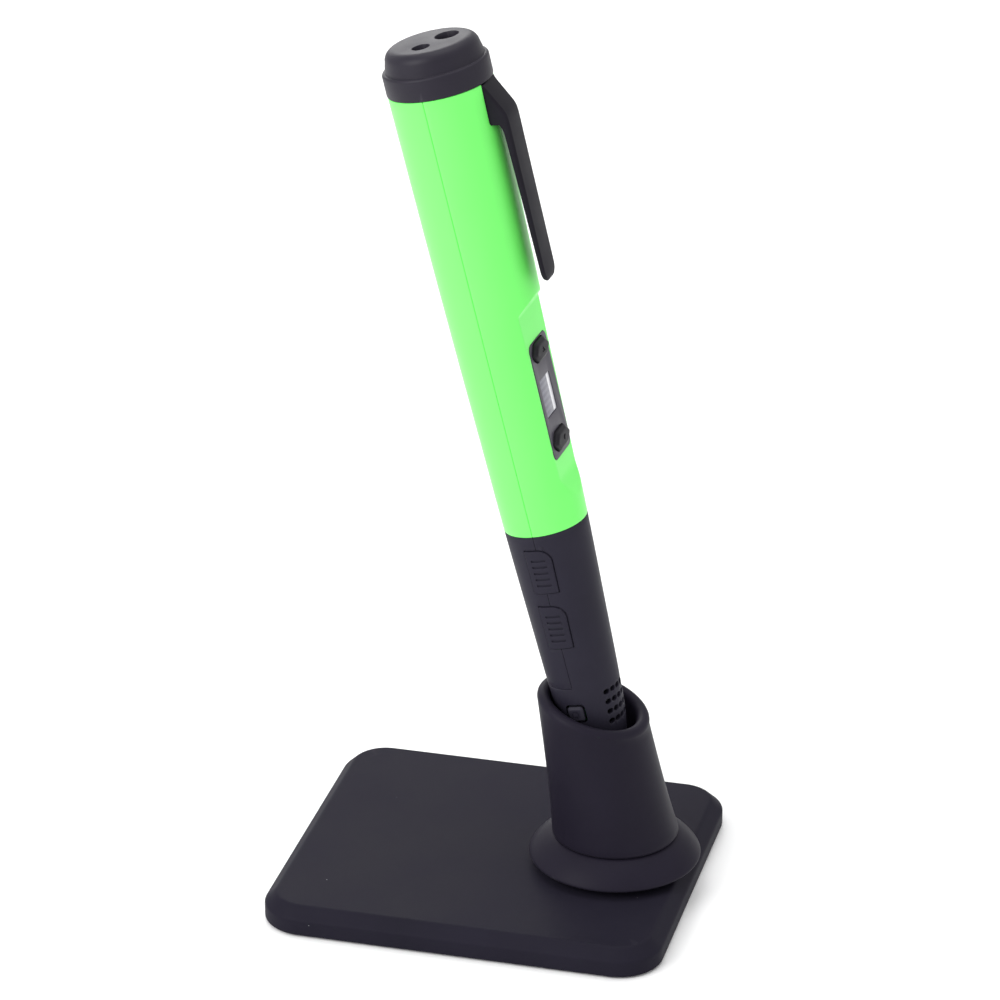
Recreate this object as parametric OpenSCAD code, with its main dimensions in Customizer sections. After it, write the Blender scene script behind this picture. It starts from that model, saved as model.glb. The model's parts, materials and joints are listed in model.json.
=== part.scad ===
// A 3D pen standing in a leaning cup on a heavy base plate.
// +X points to the right along the plate's front edge, +Y to the back and +Z up.
// The origin is the middle of the plate's underside. The pen is drawn upright with its
// nozzle tip at zero and its display facing +X, then it is put into the cup.

/* [Base] */
// Width of the base plate, left to right
base_w = 100; // [96:1:130]
// Depth of the base plate, front to back
base_d = 90; // [70:1:120]
// Height of the plate's upright side
base_side_h = 4.5; // [4:0.1:5.5]
// Height of the bevel above the side
base_bevel_h = 2.75; // [2.5:0.05:3]
// Width of the bevel, seen from above
base_bevel_w = 2.9; // [2:0.1:4]
// Radius of the plate's corners
base_corner_r = 11; // [9:0.5:16]

/* [Holder] */
// Distance of the holder's pivot to the right of the plate's middle
holder_x = 30; // [28:0.5:32]
// Radius of the flared skirt
skirt_r = 21.3; // [20.5:0.1:23]
// Radius of the cup where it meets the skirt
cup_r = 15.7; // [15:0.1:16.5]
// Height of the middle of the cup's mouth
mouth_z = 48.8; // [48:0.1:49.5]
// Lean of the cup towards the middle of the plate, in degrees
cup_lean = 9; // [8.5:0.1:9.5]
// Tilt of the mouth away from the middle of the plate, in degrees
mouth_tilt = 16; // [14:0.5:18]
// Inner radius of the mouth
mouth_r = 11.1; // [11:0.1:11.5]
// Radius of the rounding on the mouth's lip
lip_r = 1.6; // [1.3:0.05:1.7]

/* [Pen] */
// Lean of the pen in the cup, in degrees
pen_lean = 13.3; // [12.8:0.1:13.6]
// Turn of the pen about its own axis, in degrees
pen_turn = -4; // [-8:1:8]
// Wall of the barrel
barrel_wall = 1.6; // [1.3:0.1:1.7]
// Wall of the grip and the nose
grip_wall = 1.5; // [1.3:0.1:1.6]
// Gap between two halves of a casing
seam_gap = 0.1; // [0.06:0.02:0.2]
// Gap around each button
button_gap = 0.2; // [0.15:0.01:0.3]
// Travel of each button
button_travel = 0.4; // [0.2:0.05:0.45]

/* [Display] */
// Distance of the barrel's flat from the pen's axis
flat_x = 8.6; // [8.5:0.05:8.8]
// Width of the dark panel
panel_w = 12.3; // [11.6:0.1:12.6]
// Length of the dark panel
panel_l = 29.6; // [29:0.1:30.5]
// Width of the screen window
screen_w = 7; // [5:0.1:7.4]
// Length of the screen window
screen_l = 9.6; // [8:0.1:12]

/* [Inlets] */
// Radius of the power inlet in the end cap
jack_hole_r = 2.85; // [2.8:0.05:3]
// Radius of the filament inlet in the end cap
filament_hole_r = 2.1; // [1.5:0.1:2.3]

/* [Feed] */
// Tooth size of the feed gears
gear_module = 0.3; // [0.29:0.01:0.31]
// Teeth on the feed screw's gear
screw_teeth = 12; // [12:1:12]
// Teeth on the motor's pinion
pinion_teeth = 14; // [14:1:14]
// Pitch of the feed screw
screw_pitch = 2; // [1.5:0.5:4]

/* [Hidden] */
$fn = 64;
cut = 0.01;            // how far a cutting shape passes a face that it opens
far = 40;              // longer than any distance across the pen
fit = 0.05;            // gap on each side of a part that runs or slides in another

// Base plate
base_top = base_side_h + base_bevel_h;
base_foot = 0.4;       // the shell's rim clears the ground by this
base_wall = 2.4;
pad_inset = 1.6;
pad_h = 1;
weight_z0 = 1.2;
weight_z1 = 4.1;
weight_inset = 4.5;
boss_r = 10;           // boss around the pivot's bore
boss_z0 = 3.2;
collar_r = 12;         // raised ring that the holder turns on
collar_z = base_top + 1.05;

// Pivot
stub_r = 5;
hub_r = 11.6;
hub_z0 = collar_z + 0.65;
hub_z1 = 15.4;
washer_h = 0.5;
retainer_z0 = 2.4;
screw_r = 1.9;
screw_head_r = 3.6;

// Holder
cup_screw_x = 8.2;
cup_screw_r = 1.2;
cup_screw_head_h = 1.5;
cup_screw_z1 = 19.5;
cup_z0 = hub_z1 + 0.2;
cup_pivot_z = 12;
mouth_x = holder_x - (mouth_z - cup_pivot_z) * tan(cup_lean);
skirt_z0 = 9.3;

// Where the pen's nozzle tip stands in the cup
tip_x = 29.4;
tip_z = 24.1;

// The pen's outline: height above the nozzle tip, and radius
pen_line = [
    [5, 4.9], [9, 5.6], [14, 6.6], [19, 7.6], [23, 8.15], [31, 8.65], [50, 9.4],
    [76, 10.32], [96, 10.8], [126, 11.52], [150, 12], [187.7, 12.6]
];
nose_z0 = 5;
rear_cover_z0 = 34.5;  // the grip's rear half starts here, above the round nose
barrel_z0 = 76;
barrel_z1 = 187.7;
spigot_h = 4.5;        // the grip's neck inside the barrel

// Flat with the display
flat_z0 = 88;
flat_z1 = 131.2;
ramp_h = 7;            // the flat runs out over this height
shoulder_h = 3.6;      // height of the slope above the flat
panel_x = 8.7;
panel_h = 1.2;
panel_z = 108;
panel_corner_r = 1.8;
screen_y = -0.9;
screen_z = 108.5;
temp_button_w = 9.8;
temp_button_l = 4.8;
temp_button_proud = 1.15;
panel_pocket_x = 3.6;  // the panel's opening in the barrel starts here, inside the wall
temp_up_z = 119.9;
temp_down_z = 97;
display_board_x = 3.5;
board_h = 0.8;

// Grip buttons
grip_button_z = [61, 45.9];  // lower edge of the feed button and of the retract button
grip_button_l = 11.3;
grip_button_w = 6.4;
grip_button_corner_r = 3;
grip_button_proud = 0.35;
grip_board_y = -5.6;
power_x = -0.6;
power_z = 27.6;
power_w = 3.9;
power_gap = 0.55;      // the power button stands in a wider recess
power_board_y = -4.9;

// End cap
collar_end_z = 193.3;
cap_z1 = 198.4;
cap_collar_r = 12.75;
cap_r = 11.75;
cap_edge_r = 2.7;
plug_z0 = 183.7;
plug_r = 10.8;
jack_xy = [3.1, 3.2];
jack_r = 4;
jack_z0 = 181;
jack_z1 = 196.2;
filament_top = [-0.8, -4.2, 190.3];

// Clip
clip_w = 8.5;
clip_x = 16.2;         // outer face of the blade
clip_tip_z = 137.3;
clip_root_z0 = 177.6;
clip_seat_x = 11;

// Feed
screw_xy = [0.6, 0];
motor_angle = 131;
gear_distance = gear_module * (screw_teeth + pinion_teeth) / 2;
motor_xy = [
    screw_xy[0] + gear_distance * cos(motor_angle),
    screw_xy[1] + gear_distance * sin(motor_angle)
];
feed_xy = [0.6, -3.4]; // the filament beside the feed screw
feed_z0 = 71;
feed_z1 = 85;
plate_h = 1.4;
journal_r = 0.8;
feed_screw_r = 2.55;
motor_r = 5;
gearbox_z0 = 86;
motor_z0 = 98;
motor_z1 = 121;
shaft_r = 1;
roller_r = 1.5;
roller_w = 2.6;
roller_yz = [-5.8, 77];

// Hot end
hot_top_z = 42.5;
break_r = 1.5;
bore_r = 1;

// Fan behind the vents
vent_z = 23.5;         // middle of the lowest row of vents
vent_rows = 4;
vent_row_pitch = 2.68;
vent_columns = 6;
vent_turn = 14;        // degrees between two columns
fan_x = 1.8;
fan_z = 27.1;
fan_w = 9;
fan_h = 3;

function pen_r(z) = lookup(z, pen_line);

// Outline of the pen from one height to another, moved inwards
function outline(z0, z1, inset) = concat(
    [[pen_r(z0) - inset, z0]],
    [for (p = pen_line) if (p[0] > z0 && p[0] < z1) [p[1] - inset, p[0]]],
    [[pen_r(z1) - inset, z1]]
);

// Points of a circular arc about a centre
function arc(centre, r, a0, a1, steps) =
    [for (i = [0:steps]) centre + r * [cos(a0 + (a1 - a0) * i / steps), sin(a0 + (a1 - a0) * i / steps)]];

// Puts a part that is drawn upright into the cup
module in_pen() {
    translate([tip_x, 0, tip_z]) rotate([0, -pen_lean, 0]) rotate([0, 0, pen_turn]) children();
}

module at_mouth() {
    translate([mouth_x, 0, mouth_z]) rotate([0, mouth_tilt, 0]) children();
}

// A turned solid that follows the pen's outline
module pen_solid(z0, z1, inset) {
    rotate_extrude() polygon(concat([[0, z0]], outline(z0, z1, inset), [[0, z1]]));
}

module pen_shell(z0, z1, wall) {
    difference() {
        pen_solid(z0, z1, 0);
        pen_solid(z0 - cut, z1 + cut, wall);
    }
}

// Keeps the display's side (1) or the far side (-1) of a casing
module half(side) {
    intersection() {
        children();
        translate([side > 0 ? seam_gap / 2 : -far - seam_gap / 2, -far, -far]) cube([far, 2 * far, 8 * far]);
    }
}

module rod(p0, p1, r) {
    d = p1 - p0;
    translate(p0)
        rotate([0, acos(d[2] / norm(d)), atan2(d[1], d[0])])
            cylinder(h = norm(d), r = r);
}

module pipe(p0, p1, r, bore) {
    over = (p1 - p0) / norm(p1 - p0);
    difference() {
        rod(p0, p1, r);
        rod(p0 - over, p1 + over, bore);
    }
}

module rounded_rect(w, h, r) {
    square([w - 2 * r, h], center = true);
    square([w, h - 2 * r], center = true);
    for (x = [-1, 1], y = [-1, 1]) translate([x * (w / 2 - r), y * (h / 2 - r)]) circle(r);
}

// Draws a shape in the plane across +X: its first axis lies along Y and its second along Z
module across_x(x0, x1) {
    translate([x0, 0, 0]) rotate([90, 0, 90]) linear_extrude(x1 - x0) children();
}

// Draws a shape in the plane across -Y: its first axis lies along X and its second along Z
module across_y(y0, y1) {
    translate([0, y1, 0]) rotate([90, 0, 0]) linear_extrude(y1 - y0) children();
}

module box(x, y, z) {
    translate([x[0], y[0], z[0]]) cube([x[1] - x[0], y[1] - y[0], z[1] - z[0]]);
}

// ---- Base ----

// A slab with rounded corners and a bevel round its top
module bevelled_slab(w, d, z0, side_z, top_z, bevel, r) {
    half_w = w / 2;
    half_d = d / 2;
    along_x = [
        [-half_d, z0], [half_d, z0], [half_d, side_z],
        [half_d - bevel, top_z], [bevel - half_d, top_z], [-half_d, side_z]
    ];
    along_y = [
        [-half_w, z0], [half_w, z0], [half_w, side_z],
        [half_w - bevel, top_z], [bevel - half_w, top_z], [-half_w, side_z]
    ];
    across_x(r - half_w, half_w - r) polygon(along_x);
    across_y(r - half_d, half_d - r) polygon(along_y);
    for (x = [-1, 1], y = [-1, 1]) translate([x * (half_w - r), y * (half_d - r), 0]) {
        translate([0, 0, z0]) cylinder(h = side_z - z0, r = r);
        translate([0, 0, side_z]) cylinder(h = top_z - side_z, r1 = r, r2 = r - bevel);
    }
}

module plain_slab(w, d, z0, z1, r) {
    translate([0, 0, z0]) linear_extrude(z1 - z0) rounded_rect(w, d, r);
}

module base_plate() {
    color("#39383f") difference() {
        union() {
            difference() {
                bevelled_slab(base_w, base_d, base_foot, base_side_h, base_top, base_bevel_w, base_corner_r);
                plain_slab(base_w - 2 * base_wall, base_d - 2 * base_wall,
                    base_foot - cut, weight_z1 + 0.2, base_corner_r - base_wall);
            }
            translate([holder_x, 0, boss_z0]) cylinder(h = base_top - boss_z0, r = boss_r);
            translate([holder_x, 0, base_top - 1]) cylinder(h = collar_z - base_top + 1, r = collar_r);
        }
        translate([holder_x, 0, 0]) cylinder(h = far, r = stub_r + fit);
    }
}

module base_weight() {
    color("#8a8c90") difference() {
        plain_slab(base_w - 2 * weight_inset, base_d - 2 * weight_inset, weight_z0, weight_z1,
            base_corner_r - weight_inset);
        translate([holder_x, 0, 0]) cylinder(h = far, r = boss_r + 0.5);
    }
}

module base_pad() {
    pad_edge = base_wall + 0.15;
    color("#1c1c1e") union() {
        plain_slab(base_w - 2 * pad_edge, base_d - 2 * pad_edge, 0, pad_h, base_corner_r - pad_edge);
    }
}

module thrust_washer() {
    color("#d8d6cf") translate([holder_x, 0, collar_z]) difference() {
        cylinder(h = washer_h, r = collar_r - 0.8);
        translate([0, 0, -cut]) cylinder(h = 1, r = stub_r + 0.3);
    }
}

// ---- Holder ----

module pivot_hub() {
    color("#2c2b31") translate([holder_x, 0, 0]) difference() {
        union() {
            translate([0, 0, hub_z0]) cylinder(h = hub_z1 - hub_z0, r = hub_r);
            translate([0, 0, retainer_z0 + 0.6]) cylinder(h = hub_z0 - retainer_z0, r = stub_r);
        }
        cylinder(h = 13, r = screw_r + fit);
        for (x = [-cup_screw_x, cup_screw_x]) translate([x, 0, 0]) {
            cylinder(h = far, r = cup_screw_r + 0.1);
            cylinder(h = hub_z0 + 0.4 + cup_screw_head_h + 0.05, r = 2.15);
        }
    }
}

module at_cup_screws() {
    for (x = [-cup_screw_x, cup_screw_x]) translate([holder_x + x, 0, 0]) children();
}

// Two screws that hold the cup and the skirt on the hub
module cup_screws() {
    head_z = hub_z0 + 0.4;
    head_top = head_z + cup_screw_head_h;
    color("#b9bcc0") at_cup_screws() difference() {
        union() {
            translate([0, 0, head_z]) cylinder(h = cup_screw_head_h, r = 2);
            translate([0, 0, head_top - cut]) cylinder(h = cup_screw_z1 - head_top, r = cup_screw_r);
        }
        for (a = [0, 90]) rotate([0, 0, a]) box([-1.2, 1.2], [-0.25, 0.25], [0, head_z + 0.6]);
    }
}

module retaining_washer() {
    color("#b9bcc0") translate([holder_x, 0, retainer_z0]) difference() {
        cylinder(h = 0.6, r = boss_r - 2);
        translate([0, 0, -cut]) cylinder(h = 1, r = screw_r + 0.2);
    }
}

module pivot_screw() {
    head_z = pad_h + 0.2;
    color("#b9bcc0") translate([holder_x, 0, 0]) difference() {
        union() {
            translate([0, 0, head_z]) cylinder(h = retainer_z0 - head_z, r = screw_head_r);
            translate([0, 0, retainer_z0]) cylinder(h = 10.2, r = screw_r);
        }
        for (a = [0, 90]) rotate([0, 0, a]) box([-2, 2], [-0.35, 0.35], [0, head_z + 0.7]);
    }
}

module holder_skirt() {
    profile = [
        [skirt_r, skirt_z0 + 0.9], [skirt_r - 0.2, skirt_z0 + 0.3], [skirt_r - 0.7, skirt_z0],
        [skirt_r - 1.4, skirt_z0 + 0.3], [skirt_r - 3.6, skirt_z0 + 2.6], [skirt_r - 6.3, skirt_z0 + 4.1],
        [hub_r + 0.05, skirt_z0 + 4.3], [hub_r + 0.05, hub_z1], [cup_r - 0.7, hub_z1],
        [cup_r - 0.3, hub_z1 - 0.1], [skirt_r - 3.9, skirt_z0 + 4.8], [skirt_r - 1.8, skirt_z0 + 3]
    ];
    color("#232228") translate([holder_x, 0, 0]) rotate_extrude($fn = 96) polygon(profile);
}

// The cup's wall runs from its round foot to the rounded lip of the tilted mouth
module holder_cup() {
    seat_z = 9.5;
    lip_z0 = 0.3;          // the mouth opens out above this
    color("#2e2e35") difference() {
        hull() {
            translate([holder_x, 0, cup_z0]) cylinder(h = 0.5, r = cup_r, $fn = 64);
            at_mouth() rotate_extrude($fn = 64) translate([mouth_r + lip_r, 0]) circle(lip_r, $fn = 20);
        }
        hull() {
            at_mouth() cylinder(h = 6, r = mouth_r, $fn = 64);
            in_pen() translate([0, 0, seat_z]) cylinder(h = 0.5, r = 7.3, $fn = 64);
        }
        at_mouth() translate([0, 0, lip_z0])
            cylinder(h = lip_r, r1 = mouth_r - 0.1, r2 = mouth_r + lip_r - 0.3, $fn = 64);
        in_pen() translate([0, 0, -3]) cylinder(h = seat_z + 3.3, r = 5.9);
        at_cup_screws() cylinder(h = cup_screw_z1 + 0.4, r = cup_screw_r + 0.1);
    }
}

// ---- Pen casing ----

// What the display's flat takes off the barrel, moved inwards for the inside of the wall
module flat_cut(inset) {
    x = flat_x - inset;
    across_y(-far, far) polygon([
        [x, flat_z1 + inset / 2], [x, flat_z0 - inset / 2], [x + 2.6, flat_z0 - ramp_h - inset / 2],
        [far, flat_z0 - ramp_h - inset / 2], [far, flat_z1 + shoulder_h + inset / 2],
        [x + 3.8, flat_z1 + shoulder_h + inset / 2]
    ]);
}

module barrel() {
    difference() {
        pen_solid(barrel_z0, barrel_z1, 0);
        flat_cut(0);
        difference() {
            pen_solid(barrel_z0 - cut, barrel_z1 + cut, barrel_wall);
            flat_cut(barrel_wall);
        }
    }
}

module panel_outline(grow) {
    rounded_rect(panel_w + 2 * grow, panel_l + 2 * grow, panel_corner_r + grow);
}

module front_shell() {
    seat_w = clip_w + 0.3;
    color("#8cf07c") in_pen() difference() {
        union() {
            half(1) barrel();
            intersection() {
                pen_solid(clip_root_z0 - 3, barrel_z1 - 0.1, barrel_wall / 2);
                box([9.3, far], [-seat_w / 2 - 1, seat_w / 2 + 1], [clip_root_z0 - 1.5, barrel_z1 - 0.2]);
            }
        }
        across_x(panel_pocket_x, far) translate([0, panel_z]) panel_outline(0.06);
        box([clip_seat_x - 0.2, far], [-seat_w / 2, seat_w / 2], [clip_root_z0 - 0.2, barrel_z1 + cut]);
        translate([8, 0, 182]) rotate([0, 90, 0]) cylinder(h = 5, r = 1.9);
    }
}

module rear_shell() {
    color("#96ff90") in_pen() half(-1) barrel();
}

// Outline of a grip button: a square corner at the top left and a wide round one at the top right
module grip_button_outline(z0, grow) {
    w = grip_button_w + 2 * grow;
    l = grip_button_l + 2 * grow;
    r = grip_button_corner_r + grow;
    translate([-w / 2, z0 - grow]) polygon(concat(
        [[0, 0], [w - 0.2, 0]], arc([w - r, l - r], r, 0, 90, 8), [[0, l]]
    ));
}

module power_outline(grow) {
    translate([power_x, power_z]) rounded_rect(power_w + 2 * grow, power_w + 2 * grow, 0.7 + grow);
}

module button_openings() {
    across_y(-far, 0) {
        for (z = grip_button_z) grip_button_outline(z, button_gap);
        power_outline(power_gap);
    }
}

module vents() {
    for (row = [0:vent_rows - 1], column = [0:vent_columns - 1])
        rotate([0, 0, (column - (vent_columns - 1) / 2) * vent_turn])
            across_x(4, far) translate([0, vent_z + row * vent_row_pitch]) rounded_rect(1.8, 1.35, 0.67);
}

// Neck of the grip, inside the barrel's lower end
module grip_neck() {
    difference() {
        union() {
            pen_solid(barrel_z0 - 4, barrel_z0 - 0.05, grip_wall - 0.2);
            pen_solid(barrel_z0 - 4, barrel_z0 + spigot_h, barrel_wall + 0.08);
        }
        pen_solid(barrel_z0 - 5, barrel_z0 + spigot_h + 1, barrel_wall + 0.9);
    }
}

module grip_front_shell() {
    color("#36353e") in_pen() difference() {
        union() {
            pen_shell(nose_z0, barrel_z0 - 0.05, grip_wall);
            grip_neck();
        }
        box([-far, seam_gap / 2], [-far, far], [rear_cover_z0, barrel_z1]);
        button_openings();
        vents();
    }
}

module grip_rear_shell() {
    color("#36353e") in_pen() difference() {
        half(-1) {
            pen_shell(rear_cover_z0 + seam_gap, barrel_z0 - 0.05, grip_wall);
            grip_neck();
        }
        button_openings();
    }
}

// Rubber cap with a collar, a plug that grips the barrel, and the two inlets
module end_cap() {
    top_r = cap_r - 0.4;
    profile = concat(
        [[0, plug_z0], [plug_r - 0.4, plug_z0], [plug_r, plug_z0 + 0.5], [plug_r, barrel_z1 + 0.05]],
        [[cap_collar_r - 0.3, barrel_z1 + 0.05], [cap_collar_r, barrel_z1 + 0.4]],
        arc([cap_collar_r - 0.6, collar_end_z - 0.6], 0.6, 0, 90, 4),
        [[cap_r + 0.15, collar_end_z], [cap_r, collar_end_z + 0.2]],
        arc([top_r - cap_edge_r, cap_z1 - cap_edge_r], cap_edge_r, 0, 90, 8),
        [[0, cap_z1]]
    );
    color("#38383f") in_pen() difference() {
        rotate_extrude($fn = 96) polygon(profile);
        box([9, far], [-6, 6], [plug_z0 - 1, barrel_z1 + 0.05]);
        translate([jack_xy[0], jack_xy[1], 0]) {
            cylinder(h = 5 * far, r = jack_hole_r);
            cylinder(h = jack_z1 + 0.2, r = jack_r + 0.15);
        }
        translate([filament_top[0], filament_top[1], 0]) {
            cylinder(h = 5 * far, r = 1.75);
            translate([0, 0, filament_top[2] + 0.2]) cylinder(h = far, r = filament_hole_r);
        }
    }
}

module pocket_clip() {
    inner_x = clip_x - 1.8;
    tip_r = 3.2;
    side = [
        [clip_seat_x, clip_root_z0], [inner_x - 1.4, clip_root_z0], [inner_x - 0.4, clip_root_z0 - 0.5],
        [inner_x, clip_root_z0 - 2], [inner_x + 0.7, clip_tip_z + 1.2], [inner_x + 1.1, clip_tip_z],
        [clip_x - 0.3, clip_tip_z], [clip_x, clip_tip_z + 0.9], [clip_x, 179.2],
        [clip_x - 0.5, 181.3], [12.1, barrel_z1 - 0.3], [clip_seat_x, barrel_z1 - 0.3]
    ];
    color("#2b2a30") in_pen() {
        intersection() {
            across_y(-clip_w / 2, clip_w / 2) polygon(side);
            across_x(0, far) {
                translate([-clip_w / 2, clip_tip_z + tip_r]) square([clip_w, far + 20]);
                translate([0, clip_tip_z + tip_r]) {
                    square([clip_w - 2 * tip_r, 2 * tip_r], center = true);
                    for (y = [-1, 1]) translate([y * (clip_w / 2 - tip_r), 0]) circle(tip_r);
                }
            }
        }
        translate([8.4, 0, 182]) rotate([0, 90, 0]) cylinder(h = clip_seat_x - 8.3, r = 1.5);
    }
}

// ---- Display ----

module display_panel() {
    color("#55545c") in_pen() difference() {
        across_x(panel_x - panel_h, panel_x) translate([0, panel_z]) panel_outline(0);
        across_x(0, far) translate([screen_y, screen_z]) rounded_rect(screen_w, screen_l, 0.3);
        for (z = [temp_up_z, temp_down_z])
            across_x(0, far) translate([0, z]) temp_button_outline(button_gap);
    }
}

module display_screen() {
    module_x = display_board_x + board_h;
    glass_x = panel_x - panel_h;
    color("#8f8e9b") in_pen() {
        across_x(glass_x - 0.1, panel_x - 0.15) translate([screen_y, screen_z])
            rounded_rect(screen_w - 0.1, screen_l - 0.1, 0.25);
        box([module_x, glass_x - 0.05], [-5, 5], [101.2, 115.8]);
    }
}

module display_board() {
    color("#1f5a34") in_pen()
        box([display_board_x, display_board_x + board_h], [-6, 6], [92.6, 123.4]);
}

// A small push switch drawn with its back on the XY plane and its stem upwards
module tact_switch(w, h, stem_h) {
    translate([-w / 2, -w / 2, 0]) cube([w, w, h]);
    translate([0, 0, h]) cylinder(h = stem_h, r = w / 5);
}

module panel_switches() {
    color("#c9cbce") in_pen()
        for (z = [temp_up_z, temp_down_z])
            translate([display_board_x + board_h, 0, z]) rotate([0, 90, 0]) tact_switch(4.2, 1.3, 0.6);
}

module temp_button_outline(grow) {
    rounded_rect(temp_button_w + 2 * grow, temp_button_l + 2 * grow, 2 + grow);
}

module temp_button(z, way) {
    back_x = panel_x - panel_h - 0.2;
    top_x = panel_x + temp_button_proud;
    difference() {
        union() {
            across_x(back_x - 0.6, back_x) translate([0, z])
                rounded_rect(temp_button_w + 1.2, temp_button_l + 0.8, 2);
            across_x(back_x - cut, top_x - 0.5) translate([0, z]) temp_button_outline(0);
            across_x(top_x - 0.5 - cut, top_x - 0.2) translate([0, z]) temp_button_outline(-0.3);
            across_x(top_x - 0.2 - cut, top_x) translate([0, z]) temp_button_outline(-0.7);
        }
        across_x(top_x - 0.25, far) translate([0, z])
            polygon([[-1, -0.7 * way], [1, -0.7 * way], [0, 0.9 * way]]);
    }
}

module temp_up_button() {
    color("#2a2a2e") in_pen() temp_button(temp_up_z, 1);
}

module temp_down_button() {
    color("#2a2a2e") in_pen() temp_button(temp_down_z, -1);
}

// ---- Buttons on the grip ----

// A button that follows the grip's surface, with finger grooves and a plunger behind it
module grip_button(z0) {
    mid_z = z0 + grip_button_l / 2;
    difference() {
        union() {
            intersection() {
                difference() {
                    pen_solid(z0 - 2, z0 + grip_button_l + 2, -grip_button_proud);
                    pen_solid(z0 - 3, z0 + grip_button_l + 3, grip_wall - 0.1);
                }
                across_y(-far, -4) grip_button_outline(z0, 0);
            }
            translate([0, -7.4, mid_z]) rotate([90, 0, 0]) cylinder(h = pen_r(mid_z) - 8.2, r = 1.2);
        }
        for (i = [0:4]) {
            z = z0 + 2.1 + i * 1.65;
            difference() {
                box([-1.9, 1.9], [-far, -4], [z - 0.2, z + 0.2]);
                pen_solid(z0 - 3, z0 + grip_button_l + 3, 0.3 - grip_button_proud);
            }
        }
    }
}

module feed_button() {
    color("#36353e") in_pen() grip_button(grip_button_z[0]);
}

module retract_button() {
    color("#36353e") in_pen() grip_button(grip_button_z[1]);
}

module grip_board() {
    color("#1f5a34") in_pen() box([-4, 4], [grip_board_y, grip_board_y + 0.6], [44, 70.4]);
}

module grip_switches() {
    color("#c9cbce") in_pen()
        for (z0 = grip_button_z)
            translate([0, grip_board_y, z0 + grip_button_l / 2])
                rotate([90, 0, 0]) tact_switch(4.2, 1.1, 0.2);
}

module power_button() {
    face_y = -pen_r(power_z) - 0.5;
    color("#36353e") in_pen() difference() {
        union() {
            across_y(face_y + 0.5, -6.9) power_outline(0);
            across_y(face_y, face_y + 0.5 + cut) power_outline(-0.4);
        }
        across_y(face_y - 1, face_y + 0.2) translate([power_x, power_z]) difference() {
            circle(0.9);
            circle(0.6);
        }
    }
}

module power_board() {
    color("#1f5a34") in_pen() {
        box([-3.6, 1.3], [power_board_y, power_board_y + 0.6], [24, 33]);
        translate([power_x, power_board_y, power_z]) rotate([90, 0, 0]) tact_switch(3, 1, 0.4);
    }
}

// ---- Electronics and filament path in the barrel ----

module main_board() {
    color("#1f5a34") in_pen() difference() {
        union() {
            box([5.4, 6.4], [-7.2, 7.2], [128, 174]);
            box([4.3, 5.5], [-3.5, 3.5], [146, 153]);
            box([3.3, 5.5], [0.5, 5.5], [160, 165]);
            box([3.2, 5.5], [-3, 3], [129.5, 133.5]);
            box([4.6, 5.5], [-5.5, -2], [157, 160]);
            for (z = [138, 141]) translate([3, 4.5, z]) rotate([0, 90, 0]) cylinder(h = 2.5, r = 1.4);
        }
        for (z = [136, 171]) translate([0, -5.2, z]) rotate([0, 90, 0]) cylinder(h = far, r = 0.9);
    }
}

module board_screws() {
    color("#b9bcc0") in_pen() for (z = [136, 171]) translate([0, -5.2, z]) rotate([0, 90, 0]) {
        translate([0, 0, 4.6]) cylinder(h = 0.8, r = 1.5);
        translate([0, 0, 5.3]) cylinder(h = 3, r = 0.8);
    }
}

module dc_jack() {
    color("#27272b") in_pen() translate([jack_xy[0], jack_xy[1], 0]) {
        difference() {
            translate([0, 0, jack_z0]) cylinder(h = jack_z1 - jack_z0, r = jack_r);
            translate([0, 0, jack_z0 + 3]) cylinder(h = far, r = jack_hole_r + 0.3);
        }
        translate([0, 0, jack_z0 + 2]) cylinder(h = jack_z1 - jack_z0 - 3, r = 1);
        for (x = [-2, 2]) box([x - 0.9, x + 0.9], [-0.25, 0.25], [jack_z0 - 3, jack_z0 + cut]);
    }
}

module filament_tube() {
    color("#e9e7e0") in_pen()
        pipe(filament_top, [feed_xy[0], feed_xy[1], feed_z1 + 0.4], 1.4, bore_r);
}

module at_motor() {
    in_pen() translate([motor_xy[0], motor_xy[1], 0]) children();
}

module at_screw() {
    in_pen() translate([screw_xy[0], screw_xy[1], 0]) children();
}

module feed_motor() {
    color("#b9bcc0") at_motor() {
        translate([0, 0, motor_z0]) cylinder(h = motor_z1 - motor_z0 - 2, r = motor_r);
        translate([0, 0, motor_z1 - 2 - cut]) cylinder(h = 2, r = 2.2);
        for (x = [-3, 3]) box([x - 0.7, x + 0.7], [-0.2, 0.2], [motor_z1 - 2 - cut, motor_z1 + 0.5]);
    }
}

module motor_gearbox() {
    color("#d2b25a") at_motor() difference() {
        translate([0, 0, gearbox_z0]) cylinder(h = motor_z0 - gearbox_z0, r = motor_r);
        translate([0, 0, gearbox_z0 - cut]) cylinder(h = 4, r = shaft_r + 0.08);
    }
}

module output_shaft() {
    color("#b9bcc0") at_motor() translate([0, 0, 80]) cylinder(h = gearbox_z0 + 3.5 - 80, r = shaft_r);
}

// A spur gear with straight-sided teeth and one tooth on +X
module gear(teeth, height, bore) {
    pitch_r = gear_module * teeth / 2;
    root_r = pitch_r - 1.2 * gear_module;
    tip_r = pitch_r + 0.8 * gear_module;
    root_half = 0.95 * gear_module;
    tip_half = 0.3 * gear_module;
    difference() {
        union() {
            cylinder(h = height, r = root_r + 0.02);
            linear_extrude(height) for (i = [0:teeth - 1]) rotate(i * 360 / teeth)
                polygon([
                    [root_r * 0.9, -root_half], [tip_r, -tip_half], [tip_r, tip_half], [root_r * 0.9, root_half]
                ]);
        }
        translate([0, 0, -cut]) cylinder(h = height + 1, r = bore);
    }
}

module motor_pinion() {
    color("#c9a545") at_motor() translate([0, 0, 80.3])
        rotate([0, 0, motor_angle + 180 + 180 / pinion_teeth]) gear(pinion_teeth, 2.2, shaft_r + 0.01);
}

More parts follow.
